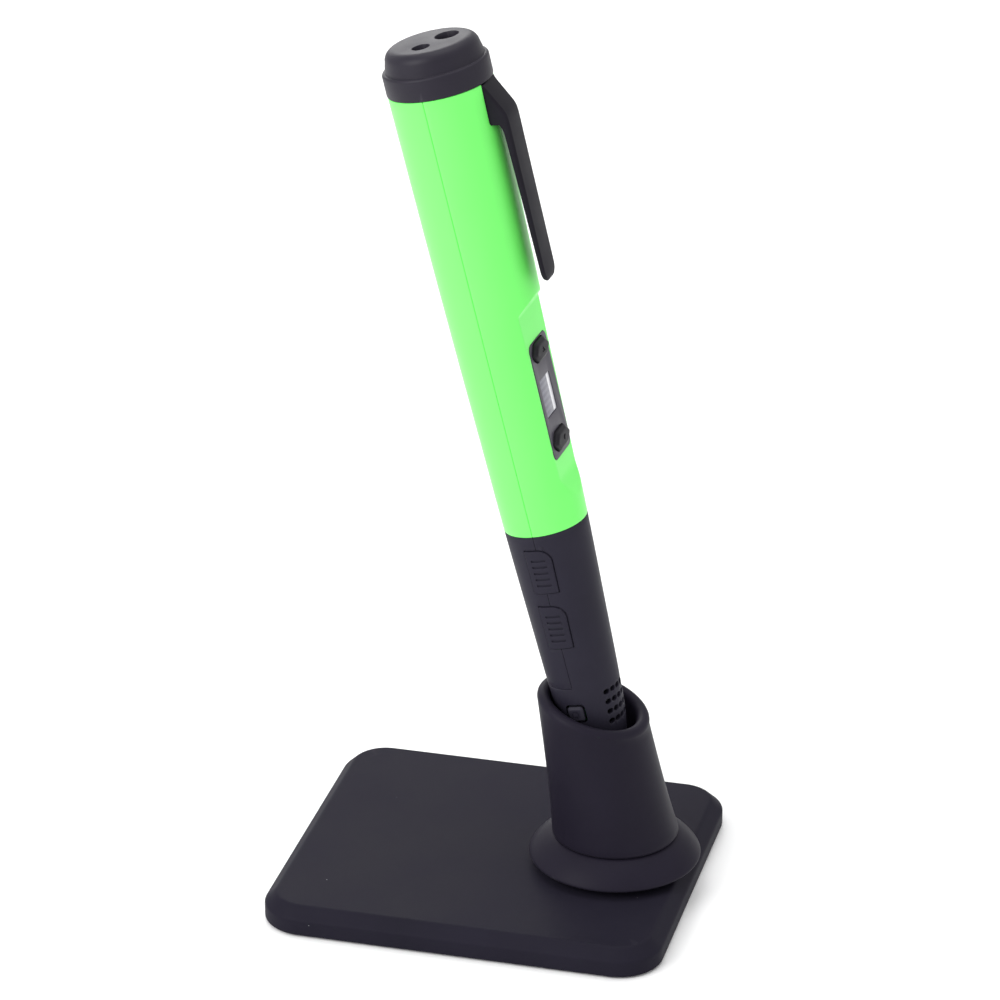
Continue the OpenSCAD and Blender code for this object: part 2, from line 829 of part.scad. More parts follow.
module screw_gear() {
    color("#c9a545") at_screw() translate([0, 0, 80.3])
        rotate([0, 0, motor_angle]) gear(screw_teeth, 2.2, journal_r + 0.01);
}

module feed_screw() {
    thread_z = feed_z0 + plate_h + 0.4;
    thread_l = 7;
    turns = thread_l / screw_pitch;
    color("#c9a545") at_screw() {
        translate([0, 0, feed_z0 + 0.2]) cylinder(h = feed_z1 - feed_z0 - 0.4, r = journal_r);
        translate([0, 0, thread_z]) linear_extrude(thread_l, twist = -360 * turns, slices = 8 * turns)
            translate([0.35, 0]) circle(feed_screw_r - 0.35, $fn = 16);
    }
}

module screw_bushes() {
    color("#b08d3c") at_screw()
        for (z = [feed_z0, feed_z1 - plate_h]) translate([0, 0, z]) difference() {
            cylinder(h = plate_h, r = 1.5);
            translate([0, 0, -cut]) cylinder(h = plate_h + 1, r = journal_r + fit);
        }
}

module at_roller() {
    in_pen() translate([feed_xy[0], roller_yz[0], roller_yz[1]]) rotate([0, 90, 0]) children();
}

module pinch_roller() {
    color("#d6d8da") at_roller() difference() {
        translate([0, 0, -roller_w / 2]) cylinder(h = roller_w, r = roller_r);
        translate([0, 0, -roller_w]) cylinder(h = 2 * roller_w, r = 0.65);
    }
}

module pinch_axle() {
    color("#b9bcc0") at_roller() translate([0, 0, -2.9]) cylinder(h = 5.8, r = 0.6);
}

// Bracket that carries the screw, the roller and the end of the filament tube
module feed_block() {
    inset = barrel_wall + 1.1;
    ear = roller_w / 2 + 0.3;
    color("#f0efe9") in_pen() difference() {
        intersection() {
            pen_solid(feed_z0, feed_z1, inset);
            union() {
                box([-far, far], [-far, far], [feed_z0, feed_z0 + plate_h]);
                box([-far, far], [-far, far], [feed_z1 - plate_h, feed_z1]);
                box([-far, -5.6], [-4, 4], [feed_z0, feed_z1]);
                for (side = [-1, 1]) translate([feed_xy[0] + side * (ear + 0.5), 0, 0])
                    box([-0.5, 0.5], [-far, -4.9], [roller_yz[1] - 1.4, feed_z1 - cut]);
            }
        }
        translate([screw_xy[0], screw_xy[1], 0]) cylinder(h = 5 * far, r = 1.52);
        translate([feed_xy[0], feed_xy[1], 0]) cylinder(h = 5 * far, r = bore_r);
        translate([motor_xy[0], motor_xy[1], feed_z1 - 2]) cylinder(h = far, r = shaft_r + 0.3);
        translate([0, roller_yz[0], roller_yz[1]]) rotate([0, 90, 0])
            cylinder(h = far, r = 0.62, center = true);
    }
}

// ---- Hot end ----

module ptfe_tube() {
    color("#e9e7e0") in_pen()
        pipe([0, 0, hot_top_z + 0.2], [feed_xy[0], feed_xy[1], feed_z0 - 0.4], 1.3, bore_r);
}

module hot_end_clamp() {
    z0 = 36.5;
    color("#2c2b31") in_pen() difference() {
        pen_solid(z0, z0 + 2.5, grip_wall + 0.1);
        translate([0, 0, z0 - 1]) cylinder(h = 5, r = break_r + 0.01);
        box([-2.5, 2.5], [3.5, far], [z0 - 1, z0 + 4]);
    }
}

module heat_break() {
    color("#c4c7ca") in_pen() difference() {
        union() {
            translate([0, 0, 9.4]) cylinder(h = hot_top_z - 9.4, r = break_r);
            translate([0, 0, 39.1]) cylinder(h = hot_top_z - 39.1, r = 2.2);
        }
        translate([0, 0, 9]) cylinder(h = far, r = bore_r);
    }
}

module heater_core() {
    color("#e6e0d2") in_pen() difference() {
        translate([0, 0, 9.6]) cylinder(h = 12, r = 3.2);
        translate([0, 0, 9]) cylinder(h = 14, r = break_r + 0.03);
    }
}

module thermistor() {
    color("#7a4a2a") in_pen() {
        translate([-4.1, 0, 19]) sphere(0.85);
        for (y = [-0.3, 0.3]) translate([-4.1, y, 19]) cylinder(h = 8, r = 0.15);
    }
}

module nozzle() {
    color("#c9a545") in_pen() difference() {
        rotate_extrude() polygon([[0, 0], [0.7, 0], [2.1, 3], [2.3, 3.3], [2.3, 9.3], [0, 9.3]]);
        translate([0, 0, -1]) cylinder(h = 3, r = 0.3);
        translate([0, 0, 1.9]) cylinder(h = 8, r = bore_r);
    }
}

module nose_insulator() {
    color("#e6e0d2") in_pen() difference() {
        translate([0, 0, 5.2]) cylinder(h = 3.4, r = 3.35);
        translate([0, 0, 5]) cylinder(h = 4, r = 2.32);
    }
}

// ---- Cooling fan behind the vents ----

module fan_frame() {
    color("#27272b") in_pen() {
        difference() {
            across_x(fan_x, fan_x + fan_h) translate([0, fan_z]) rounded_rect(fan_w, fan_w, 0.8);
            translate([fan_x + 0.4, 0, fan_z]) rotate([0, 90, 0]) cylinder(h = far, r = 4.1);
            for (a = [45:90:359]) rotate_about_fan(a) across_x(0, far) translate([0, 2.8]) circle(1);
        }
        translate([fan_x, 0, fan_z]) rotate([0, 90, 0]) cylinder(h = 1.2, r = 0.5);
    }
}

module rotate_about_fan(a) {
    translate([0, 0, fan_z]) rotate([a, 0, 0]) children();
}

module fan_rotor() {
    hub_x = fan_x + 0.7;
    color("#3a3a40") in_pen() difference() {
        union() {
            translate([hub_x, 0, fan_z]) rotate([0, 90, 0]) cylinder(h = 2, r = 1.7);
            for (i = [0:6]) rotate_about_fan(i * 360 / 7)
                translate([hub_x + 1, 0, 2.6]) rotate([0, 0, 35]) cube([0.35, 2.2, 2.4], center = true);
        }
        translate([0, 0, fan_z]) rotate([0, 90, 0]) cylinder(h = hub_x + 0.8, r = 0.56);
    }
}

base_plate();
base_weight();
base_pad();
thrust_washer();
pivot_hub();
retaining_washer();
pivot_screw();
cup_screws();
holder_skirt();
holder_cup();
front_shell();
rear_shell();
grip_front_shell();
grip_rear_shell();
end_cap();
pocket_clip();
display_panel();
display_screen();
display_board();
panel_switches();
temp_up_button();
temp_down_button();
feed_button();
retract_button();
grip_board();
grip_switches();
power_button();
power_board();
main_board();
board_screws();
dc_jack();
filament_tube();
feed_motor();
motor_gearbox();
output_shaft();
motor_pinion();
feed_screw();
screw_gear();
screw_bushes();
pinch_roller();
pinch_axle();
feed_block();
ptfe_tube();
hot_end_clamp();
heat_break();
heater_core();
thermistor();
nozzle();
nose_insulator();
fan_frame();
fan_rotor();
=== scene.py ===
import json
import math

import bmesh
import bpy
from mathutils import Matrix, Vector


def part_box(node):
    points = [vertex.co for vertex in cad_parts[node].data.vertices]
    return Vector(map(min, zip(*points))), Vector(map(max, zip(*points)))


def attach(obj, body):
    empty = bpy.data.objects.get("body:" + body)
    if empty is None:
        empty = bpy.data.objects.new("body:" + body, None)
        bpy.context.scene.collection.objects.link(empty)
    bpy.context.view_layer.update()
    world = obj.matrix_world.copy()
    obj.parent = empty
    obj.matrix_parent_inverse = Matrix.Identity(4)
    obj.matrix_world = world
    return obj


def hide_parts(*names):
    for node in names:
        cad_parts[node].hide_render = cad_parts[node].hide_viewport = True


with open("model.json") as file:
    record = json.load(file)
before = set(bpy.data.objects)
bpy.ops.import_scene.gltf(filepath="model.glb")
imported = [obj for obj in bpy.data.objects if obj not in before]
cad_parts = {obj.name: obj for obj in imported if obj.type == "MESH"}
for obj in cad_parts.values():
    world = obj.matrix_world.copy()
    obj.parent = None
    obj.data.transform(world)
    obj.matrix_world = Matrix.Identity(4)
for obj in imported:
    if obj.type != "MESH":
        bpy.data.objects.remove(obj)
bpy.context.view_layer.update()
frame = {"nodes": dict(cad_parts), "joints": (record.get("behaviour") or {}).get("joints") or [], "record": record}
record = frame["record"]
nodes = frame["nodes"]
joints = {j["name"]: j for j in frame["joints"]}
MM = 0.001
SCENE = bpy.context.scene
COLLECTION = SCENE.collection

# ---------------------------------------------------------------- camera
CAM_AZ, CAM_EL, CAM_DISTANCE = math.radians(14.543), math.radians(25.017), 1.12864
AIM = Vector((-0.0093, 0.0379, 0.0837))
back = Vector((math.sin(CAM_AZ) * math.cos(CAM_EL), -math.cos(CAM_AZ) * math.cos(CAM_EL), math.sin(CAM_EL)))
right = Vector((math.cos(CAM_AZ), math.sin(CAM_AZ), 0))
up = back.cross(right)
camera_data = bpy.data.cameras.new("camera")
camera_data.lens = 162.0
camera_data.sensor_width = 36
camera_data.clip_end = 20
camera = bpy.data.objects.new("camera", camera_data)
COLLECTION.objects.link(camera)
camera_axes = Matrix((right, up, back)).transposed().to_4x4()
camera.matrix_world = Matrix.Translation(AIM + back * CAM_DISTANCE) @ camera_axes
SCENE.camera = camera
SCENE.view_settings.view_transform = "Standard"

# ---------------------------------------------------------------- where things are
# The pieces' sizes and places are in millimetres; the frame, the camera and the lights are in metres. The
# pen's own frame has Z from the nozzle's tip to the end cap and X out of the display. Its axes come from the
# joints and its origin from the clip's hinge.
CLIP_HINGE = Vector((11.3, 0, 186.5))
pen_z = Vector(joints["pen_lift"]["axis"]).normalized()
pen_x = Vector(joints["roller_spin"]["axis"]).normalized()
pen_axes = Matrix((pen_x, pen_z.cross(pen_x), pen_z)).transposed()
pen_origin = Vector(joints["clip_flex"]["pos_m"]) - pen_axes @ CLIP_HINGE * MM
PEN = Matrix.Translation(pen_origin) @ pen_axes.to_4x4()
PEN_MM = Matrix.Translation(pen_origin / MM) @ pen_axes.to_4x4()
WORLD = Matrix.Identity(4)
hub = joints["holder_swivel"]["pos_m"]
HUB = Matrix.Translation(Vector((hub[0], hub[1], 0)))
HUB_X = hub[0] / MM

# The pen's outline as (height, radius), the heights where its casing parts meet, and half of a seam's gap.
PEN_LINE = [(5, 4.9), (9, 5.6), (14, 6.6), (19, 7.6), (23, 8.15), (31, 8.65), (50, 9.4),
            (76, 10.32), (96, 10.8), (126, 11.52), (150, 12), (187.7, 12.6)]
NOSE_Z, REAR_Z, GRIP_Z, BARREL_Z = 5, 34.5, 76, 187.7
SEAM = 0.05
GRIP_WALL, BARREL_WALL = 1.5, 1.6


def pen_r(z):
    """The pen's radius at a height, smoothed between the points of its outline."""
    line = PEN_LINE
    if z <= line[0][0]:
        return line[0][1]
    if z >= line[-1][0]:
        return line[-1][1]
    i = max(k for k in range(len(line) - 1) if line[k][0] <= z)
    (z0, r0), (z1, r1) = line[i], line[i + 1]
    slope = (r1 - r0) / (z1 - z0)
    before = (r0 - line[i - 1][1]) / (z0 - line[i - 1][0]) if i else slope
    after = (line[i + 2][1] - r1) / (line[i + 2][0] - z1) if i + 2 < len(line) else slope
    h = z1 - z0
    t = (z - z0) / h
    m0, m1 = (before + slope) / 2 * h, (slope + after) / 2 * h
    return ((2 * t**3 - 3 * t**2 + 1) * r0 + (t**3 - 2 * t**2 + t) * m0
            + (3 * t**2 - 2 * t**3) * r1 + (t**3 - t**2) * m1)


# ---------------------------------------------------------------- mesh helpers
def build(name, verts, faces, place):
    """A mesh object from points in millimetres in its own frame."""
    mesh = bpy.data.meshes.new(name)
    mesh.from_pydata([tuple(c * MM for c in v) for v in verts], [], faces)
    mesh.validate()
    obj = bpy.data.objects.new(name, mesh)
    COLLECTION.objects.link(obj)
    obj.matrix_world = place
    turn_out(obj)
    return obj


def turn_out(obj):
    """Merges doubled points and turns every face outwards."""
    bm = bmesh.new()
    bm.from_mesh(obj.data)
    bmesh.ops.remove_doubles(bm, verts=bm.verts, dist=1e-7)
    bmesh.ops.recalc_face_normals(bm, faces=bm.faces)
    bm.to_mesh(obj.data)
    bm.free()


def loft(rings, capped=True):
    """Points and faces of a skin through closed rings of equal length. If it isn't capped, the last ring
    joins the first."""
    n = len(rings[0])
    verts = [p for ring in rings for p in ring]
    faces = []
    for i in range(len(rings) - 1 if capped else len(rings)):
        a, b = i * n, ((i + 1) % len(rings)) * n
        for k in range(n):
            m = (k + 1) % n
            faces.append((a + k, a + m, b + m, b + k))
    if capped:
        faces.append(tuple(range(n))[::-1])
        faces.append(tuple(range((len(rings) - 1) * n, len(rings) * n)))
    return verts, faces


def circle(r, z, n=128, x=0, y=0):
    """A level ring of points."""
    turns = [2 * math.pi * i / n for i in range(n)]
    return [(x + r * math.cos(a), y + r * math.sin(a), z) for a in turns]


def turned(name, profile, place, n=128, hollow=False):
    """A turned piece. profile holds (radius, height); a hollow one closes on itself."""
    verts, faces = loft([circle(r, z, n) for r, z in profile], not hollow)
    return build(name, verts, faces, place)


def arc(cx, cy, r, a0, a1, n):
    """Points on an arc from one angle to another, in degrees."""
    return [(cx + r * math.cos(math.radians(a0 + (a1 - a0) * i / n)),
             cy + r * math.sin(math.radians(a0 + (a1 - a0) * i / n))) for i in range(n + 1)]


def rounded(w, h, r, n=8, cx=0, cy=0):
    """Outline of a rounded rectangle."""
    x, y = w / 2 - r, h / 2 - r
    out = []
    for sx, sy, a in ((1, 1, 0), (-1, 1, 90), (-1, -1, 180), (1, -1, 270)):
        out += arc(cx + sx * x, cy + sy * y, r, a, a + 90, n)
    return out


def prism(name, outline, axis, lo, hi, place):
    """A straight prism. axis X: the outline lies in (y, z); axis Y: in (x, z); axis Z: in (x, y)."""
    def at(p, h):
        return {"X": (h, p[0], p[1]), "Y": (p[0], h, p[1]), "Z": (p[0], p[1], h)}[axis]
    verts, faces = loft([[at(p, lo) for p in outline], [at(p, hi) for p in outline]])
    return build(name, verts, faces, place)


def settle(obj):
    """Applies an object's modifiers to its mesh."""
    graph = bpy.context.evaluated_depsgraph_get()
    mesh = bpy.data.meshes.new_from_object(obj.evaluated_get(graph))
    mesh.name = obj.name
    obj.modifiers.clear()
    obj.data = mesh


def combine(obj, others, operation="DIFFERENCE"):
    """Cuts the other objects out of one, or joins or intersects them, and removes them."""
    for other in others:
        m = obj.modifiers.new("cut", "BOOLEAN")
        m.operation = operation
        m.solver = "EXACT"
        m.object = other
    settle(obj)
    for other in others:
        bpy.data.objects.remove(other)


def plate(name, outlines, axis, lo, hi, place, bevel=0.2, steps=3):
    """A plate with rounded edges from outlines, the first one outside and the others its holes."""
    curve = bpy.data.curves.new(name, "CURVE")
    curve.dimensions = "2D"
    curve.fill_mode = "BOTH"
    for outline in outlines:
        spline = curve.splines.new("POLY")
        spline.points.add(len(outline) - 1)
        for p, (a, b) in zip(spline.points, outline):
            p.co = (a * MM, b * MM, 0, 1)
        spline.use_cyclic_u = True
    curve.offset = -bevel * MM
    curve.extrude = ((hi - lo) / 2 - bevel) * MM
    curve.bevel_depth = bevel * MM
    curve.bevel_resolution = steps
    shape = bpy.data.objects.new(name, curve)
    COLLECTION.objects.link(shape)
    graph = bpy.context.evaluated_depsgraph_get()
    mesh = bpy.data.meshes.new_from_object(shape.evaluated_get(graph))
    bpy.data.objects.remove(shape)
    middle = (lo + hi) / 2 * MM
    turn = {"X": Matrix(((0, 0, 1, middle), (1, 0, 0, 0), (0, 1, 0, 0), (0, 0, 0, 1))),
            "Y": Matrix(((1, 0, 0, 0), (0, 0, -1, middle), (0, 1, 0, 0), (0, 0, 0, 1))),
            "Z": Matrix.Translation((0, 0, middle))}[axis]
    mesh.transform(turn)
    mesh.name = name
    obj = bpy.data.objects.new(name, mesh)
    COLLECTION.objects.link(obj)
    obj.matrix_world = place
    turn_out(obj)
    return obj


def soften(obj, width, angle=35, segments=2, smooth=40):
    """Rounds an object's sharp edges and shades the rest smooth."""
    if width:
        m = obj.modifiers.new("edges", "BEVEL")
        m.width = width * MM
        m.segments = segments
        m.limit_method = "ANGLE"
        m.angle_limit = math.radians(angle)
        m.use_clamp_overlap = False
        m.harden_normals = False
        settle(obj)
    obj.data.shade_smooth()
    obj.data.set_sharp_from_angle(angle=math.radians(smooth))


def put(obj, body, slot, *replaced, look=None):
    """Makes a piece ride its body in its slot's material, or another look, in place of the nodes named."""
    obj.data.materials.clear()
    obj.data.materials.append(MAT[look or slot])
    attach(obj, body)
    if replaced:
        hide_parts(*replaced)


# ---------------------------------------------------------------- materials
def new_material(name):
    """A node material, its tree and its main shader."""
    m = bpy.data.materials.new(name)
    m.use_nodes = True
    tree = m.node_tree
    return m, tree, tree.nodes["Principled BSDF"]


def add(tree, kind, **values):
    """A shader node with its inputs or settings filled in."""
    node = tree.nodes.new(kind)
    for key, value in values.items():
        if key in node.inputs:
            node.inputs[key].default_value = value
        else:
            setattr(node, key, value)
    return node


def ramp(tree, source, lo, hi, out_lo=0.0, out_hi=1.0):
    """Maps lo to hi of a value onto out_lo to out_hi, and holds it there outside that range."""
    node = add(tree, "ShaderNodeMapRange")
    for key, value in (("From Min", lo), ("From Max", hi), ("To Min", out_lo), ("To Max", out_hi)):
        node.inputs[key].default_value = value
    tree.links.new(source, node.inputs["Value"])
    return node.outputs["Result"]


def blend_colour(tree, factor, a, b):
    """Mixes two colours or sockets by a factor."""
    node = add(tree, "ShaderNodeMix", data_type="RGBA")
    tree.links.new(factor, node.inputs[0])
    for value, socket in ((a, node.inputs[6]), (b, node.inputs[7])):
        if isinstance(value, tuple):
            socket.default_value = (*value[:3], 1)
        else:
            tree.links.new(value, socket)
    return node.outputs[2]


def srgb(r, g, b):
    """The linear colour of three screen values from 0 to 255."""
    return tuple((c / 255 / 12.92) if c <= 10 else ((c / 255 + 0.055) / 1.055) ** 2.4 for c in (r, g, b))


def moulded(name, colour, rough=0.5, specular=0.5, grain=2200, grain_depth=0.012, mottle=0.08, patch=60,
            rough_spread=0.06, edge_highlight=0.0, dust=0.0, metallic=0.0, stretch=(1, 1, 1)):
    """A moulded or machined surface: a fine grain, slow changes of tone and gloss, sharp edges made paler by a
    painted highlight, dust.
    grain and patch are counts to the metre, and grain_depth is in millimetres."""
    m, tree, shader = new_material(name)
    links = tree.links
    where = add(tree, "ShaderNodeTexCoord").outputs["Object"]
    if stretch != (1, 1, 1):
        mapping = add(tree, "ShaderNodeMapping")
        mapping.inputs["Scale"].default_value = stretch
        links.new(where, mapping.inputs["Vector"])
        where = mapping.outputs["Vector"]
    fine = add(tree, "ShaderNodeTexNoise", Scale=grain, Detail=3.0, Roughness=0.6)
    slow = add(tree, "ShaderNodeTexNoise", Scale=patch, Detail=4.0, Roughness=0.55)
    for node in (fine, slow):
        links.new(where, node.inputs["Vector"])
    dark = tuple(c * (1 - mottle) for c in colour)
    light = tuple(min(1, c * (1 + mottle)) for c in colour)
    tone = blend_colour(tree, ramp(tree, slow.outputs["Fac"], 0.3, 0.7), dark, light)
    # Sharp edges get a paler colour mixed in by pointiness: a painted highlight along the edges, with its strength
    # set per material.
    if edge_highlight:
        edge = add(tree, "ShaderNodeNewGeometry").outputs["Pointiness"]
        edge_highlight_colour = tuple(min(1, c * 1.5 + 0.03) for c in colour)
        tone = blend_colour(tree, ramp(tree, edge, 0.52, 0.6, 0, edge_highlight), tone, edge_highlight_colour)
    if dust:
        cells = add(tree, "ShaderNodeTexVoronoi", Scale=170.0)
        links.new(where, cells.inputs["Vector"])
        size = add(tree, "ShaderNodeSeparateColor")
        links.new(cells.outputs["Color"], size.inputs["Color"])
        rare = ramp(tree, size.outputs[0], 1 - dust, 1, 0, 0.05)
        speck = add(tree, "ShaderNodeMath", operation="LESS_THAN")
        links.new(cells.outputs["Distance"], speck.inputs[0])
        links.new(rare, speck.inputs[1])
        tone = blend_colour(tree, ramp(tree, speck.outputs[0], 0, 1, 0, 0.55), tone, (0.55, 0.55, 0.58))
    links.new(tone, shader.inputs["Base Color"])
    links.new(ramp(tree, slow.outputs["Fac"], 0.3, 0.7, rough - rough_spread, rough + rough_spread),
              shader.inputs["Roughness"])
    bump = add(tree, "ShaderNodeBump", Strength=1.0)
    bump.inputs["Distance"].default_value = grain_depth * MM
    links.new(fine.outputs["Fac"], bump.inputs["Height"])
    links.new(bump.outputs["Normal"], shader.inputs["Normal"])
    shader.inputs["Specular IOR Level"].default_value = specular
    shader.inputs["Metallic"].default_value = metallic
    return m


LOOKS = {
    "plate_black": dict(colour=srgb(32, 30, 40), rough=0.52, specular=0.04, grain=2600, grain_depth=0.014,
                        mottle=0.1, patch=45, rough_spread=0.05, edge_highlight=0.1, dust=0.3),
    "holder_black": dict(colour=srgb(31, 28, 39), rough=0.47, specular=0.07, grain=2600, grain_depth=0.01,
                         mottle=0.08, patch=60, rough_spread=0.04, edge_highlight=0.3, dust=0.12),
    "grip_black": dict(colour=srgb(38, 36, 47), rough=0.48, specular=0.1, grain=3200, grain_depth=0.012,
                       mottle=0.08, patch=80, rough_spread=0.05, edge_highlight=0.3, dust=0.08),
    "cap_rubber": dict(colour=srgb(34, 31, 41), rough=0.45, specular=0.2, grain=2400, grain_depth=0.016,
                       mottle=0.1, patch=90, rough_spread=0.05, edge_highlight=0.4, dust=0.1),
    "clip_black": dict(colour=srgb(27, 25, 32), rough=0.42, specular=0.08, grain=3000, grain_depth=0.008,
                       mottle=0.08, patch=90, rough_spread=0.05, edge_highlight=0.4, dust=0.05),
    "barrel_green": dict(colour=(0.17, 0.91, 0.145), rough=0.36, specular=0.45, grain=900,
                         grain_depth=0.006, mottle=0.025, patch=35, rough_spread=0.03, dust=0.02),
    "panel_gloss": dict(colour=srgb(62, 59, 69), rough=0.34, specular=0.25, grain=1500, grain_depth=0.004,
                        mottle=0.06, patch=120, rough_spread=0.05, edge_highlight=0.2, dust=0.1),
    "button_black": dict(colour=srgb(26, 25, 30), rough=0.42, specular=0.15, grain=3000, grain_depth=0.01,
                         mottle=0.1, patch=200, rough_spread=0.05, edge_highlight=0.5),
    "rubber_foot": dict(colour=srgb(28, 28, 30), rough=0.75, specular=0.3, grain=1500, grain_depth=0.03,
                        mottle=0.15, patch=60, rough_spread=0.05),
    "steel_weight": dict(colour=srgb(140, 142, 146), rough=0.42, specular=0.5, grain=900,
                         grain_depth=0.01, mottle=0.1, patch=50, rough_spread=0.1, metallic=1.0,
                         stretch=(1, 12, 1)),
    "slip_plastic": dict(colour=srgb(216, 214, 207), rough=0.4, specular=0.5, grain=1800,
                         grain_depth=0.006, mottle=0.04, patch=90),
    "screw_steel": dict(colour=srgb(186, 190, 194), rough=0.28, specular=0.5, grain=2500,
                        grain_depth=0.006, mottle=0.08, patch=200, rough_spread=0.08, metallic=1.0,
                        stretch=(1, 1, 8)),
    "switch_metal": dict(colour=srgb(202, 204, 208), rough=0.3, specular=0.5, grain=2500,
                         grain_depth=0.005, mottle=0.06, patch=220, rough_spread=0.08, metallic=1.0),
    "jack_black": dict(colour=srgb(22, 22, 25), rough=0.3, specular=0.5, grain=2600, grain_depth=0.006,
                       mottle=0.1, patch=160, rough_spread=0.05),
    "ptfe": dict(colour=srgb(233, 231, 224), rough=0.38, specular=0.5, grain=1600, grain_depth=0.006,
                 mottle=0.03, patch=80, rough_spread=0.05),
    "brass": dict(colour=srgb(212, 172, 78), rough=0.27, specular=0.5, grain=2600, grain_depth=0.006,
                  mottle=0.1, patch=150, rough_spread=0.08, metallic=1.0, stretch=(1, 1, 8)),
    "motor_steel": dict(colour=srgb(182, 186, 190), rough=0.3, specular=0.5, grain=2200,
                        grain_depth=0.006, mottle=0.06, patch=120, rough_spread=0.08, metallic=1.0,
                        stretch=(1, 1, 0.2)),
    "feed_plastic": dict(colour=srgb(238, 237, 230), rough=0.45, specular=0.5, grain=1800,
                         grain_depth=0.008, mottle=0.03, patch=90, rough_spread=0.05),
    "ceramic": dict(colour=srgb(228, 222, 208), rough=0.75, specular=0.35, grain=1500, grain_depth=0.03,
                    mottle=0.06, patch=150, rough_spread=0.06),
    "thermistor_bead": dict(colour=srgb(120, 74, 42), rough=0.15, specular=0.5, grain=1800,
                            grain_depth=0.004, mottle=0.1, patch=300, rough_spread=0.04),
    "fan_black": dict(colour=srgb(26, 26, 29), rough=0.42, specular=0.45, grain=2600, grain_depth=0.008,
                      mottle=0.08, patch=160, rough_spread=0.05),
}
MAT = {name: moulded(name, **look) for name, look in LOOKS.items()}


def circuit_board(name):
    """Green solder mask over copper tracks, with a row of pads."""
    m, tree, shader = new_material(name)
    links = tree.links
    where = add(tree, "ShaderNodeTexCoord").outputs["Object"]
    tracks = add(tree, "ShaderNodeTexBrick", Scale=420.0)
    tracks.inputs["Mortar Size"].default_value = 0.05
    tracks.inputs["Color1"].default_value = (0.010, 0.085, 0.030, 1)
    tracks.inputs["Color2"].default_value = (0.012, 0.105, 0.036, 1)
    tracks.inputs["Mortar"].default_value = (0.035, 0.20, 0.075, 1)
    pads = add(tree, "ShaderNodeTexVoronoi", Scale=380.0)
    grime = add(tree, "ShaderNodeTexNoise", Scale=180.0, Detail=4.0)
    for node in (tracks, pads, grime):
        links.new(where, node.inputs["Vector"])
    pad = add(tree, "ShaderNodeMath", operation="LESS_THAN")
    links.new(pads.outputs["Distance"], pad.inputs[0])
    pad.inputs[1].default_value = 0.16
    links.new(blend_colour(tree, pad.outputs[0], tracks.outputs["Color"], (0.72, 0.73, 0.74)),
              shader.inputs["Base Color"])
    links.new(ramp(tree, grime.outputs["Fac"], 0.3, 0.7, 0.25, 0.42), shader.inputs["Roughness"])
    bump = add(tree, "ShaderNodeBump", Strength=0.6)
    bump.inputs["Distance"].default_value = 0.03 * MM
    links.new(tracks.outputs["Fac"], bump.inputs["Height"])
    links.new(bump.outputs["Normal"], shader.inputs["Normal"])
    return m


def screen_glass(name):
    """A grey display under clear glass: a lit strip down its right side and faint rows on its left."""
    m, tree, shader = new_material(name)
    links = tree.links
    where = add(tree, "ShaderNodeTexCoord").outputs["Object"]
    parts = add(tree, "ShaderNodeSeparateXYZ")
    links.new(where, parts.inputs[0])
    strip = ramp(tree, parts.outputs["Y"], 0.6 * MM, 0.75 * MM)
    rows = add(tree, "ShaderNodeTexWave", Scale=210.0, Distortion=0.4, Detail=1.0, bands_direction="Z")
    cloud = add(tree, "ShaderNodeTexNoise", Scale=260.0, Detail=3.0)
    for node in (rows, cloud):
        links.new(where, node.inputs["Vector"])
    faint = ramp(tree, rows.outputs["Fac"], 0.35, 0.65, 0, 0.3)
    grey = blend_colour(tree, faint, srgb(100, 100, 113), srgb(140, 140, 152))
    mottled = ramp(tree, cloud.outputs["Fac"], 0.3, 0.7)
    lit = blend_colour(tree, mottled, srgb(205, 205, 212), srgb(232, 232, 236))
    links.new(blend_colour(tree, strip, grey, lit), shader.inputs["Base Color"])
    links.new(ramp(tree, cloud.outputs["Fac"], 0.3, 0.7, 0.12, 0.2), shader.inputs["Roughness"])
    bump = add(tree, "ShaderNodeBump", Strength=0.3)
    bump.inputs["Distance"].default_value = 0.004 * MM
    links.new(cloud.outputs["Fac"], bump.inputs["Height"])
    links.new(bump.outputs["Normal"], shader.inputs["Normal"])
    shader.inputs["Coat Weight"].default_value = 0.3
    shader.inputs["Coat Roughness"].default_value = 0.05
    return m


MAT["circuit_board"] = circuit_board("circuit_board")
MAT["screen"] = screen_glass("screen")

# Every CAD node takes its slot's material.
for part in record["subparts"]:
    mesh = nodes[part["node"]].data
    mesh.materials.clear()
    mesh.materials.append(MAT[part["material_slot"]])
for name in nodes:
    nodes[name].data.shade_smooth()
    nodes[name].data.set_sharp_from_angle(angle=math.radians(30))

# ---------------------------------------------------------------- base plate
plate_lo, plate_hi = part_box("base_plate")
PLATE_W = (plate_hi.x - plate_lo.x) / MM
PLATE_D = (plate_hi.y - plate_lo.y) / MM
TOP_Z, FOOT_Z, CORNER, FOOT_R = 7.25, 0.4, 11, 0.45
COLLAR_R, COLLAR_LO, COLLAR_HI = 12, 6.9, 8.3


def plate_ring(inset, z):
    """The plate's outline, drawn in from its widest, at one height."""
    return [(x, y, z) for x, y in rounded(PLATE_W - 2 * inset, PLATE_D - 2 * inset, CORNER - inset, 20)]


